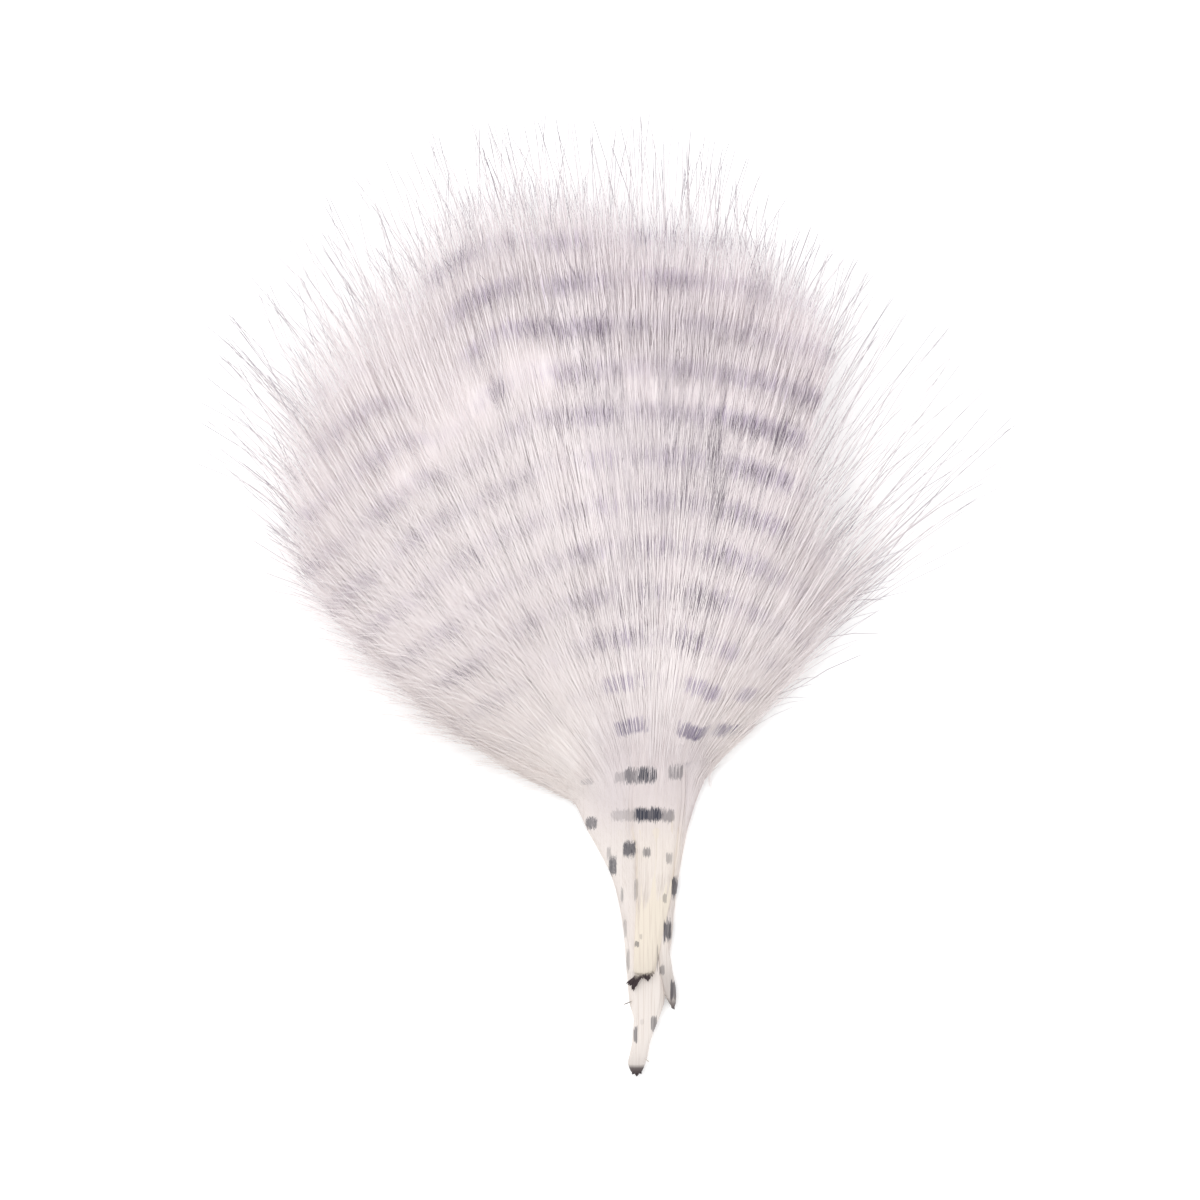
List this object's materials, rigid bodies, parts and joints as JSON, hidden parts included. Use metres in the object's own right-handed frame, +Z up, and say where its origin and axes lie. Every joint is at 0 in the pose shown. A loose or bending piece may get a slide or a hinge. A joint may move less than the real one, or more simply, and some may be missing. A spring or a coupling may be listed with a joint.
{
  "type": "marabou feather",
  "caption": "Soft barred marabou plume lying flat: narrow cream stem of pressed quills opening into a round fan of downy barbs.",
  "frame": {"origin": "middle of the footprint, on the surface that the plume lies on", "axes": "+Z up, +Y along the plume from the cut quills to the tips, +X across the fan to the right seen from above"},
  "size_m": [0.112, 0.143, 0.014],
  "materials": {
    "white_down": "soft white down with slate bars",
    "cream_barbs": "silky cream-white barbs with slate bars",
    "quill": "dry cream quill, dark and torn at its end"
  },
  "bodies": {
    "root": {"left_feather": "white_down", "right_feather": "white_down", "top_feather": "cream_barbs"}
  },
  "joints": []
}
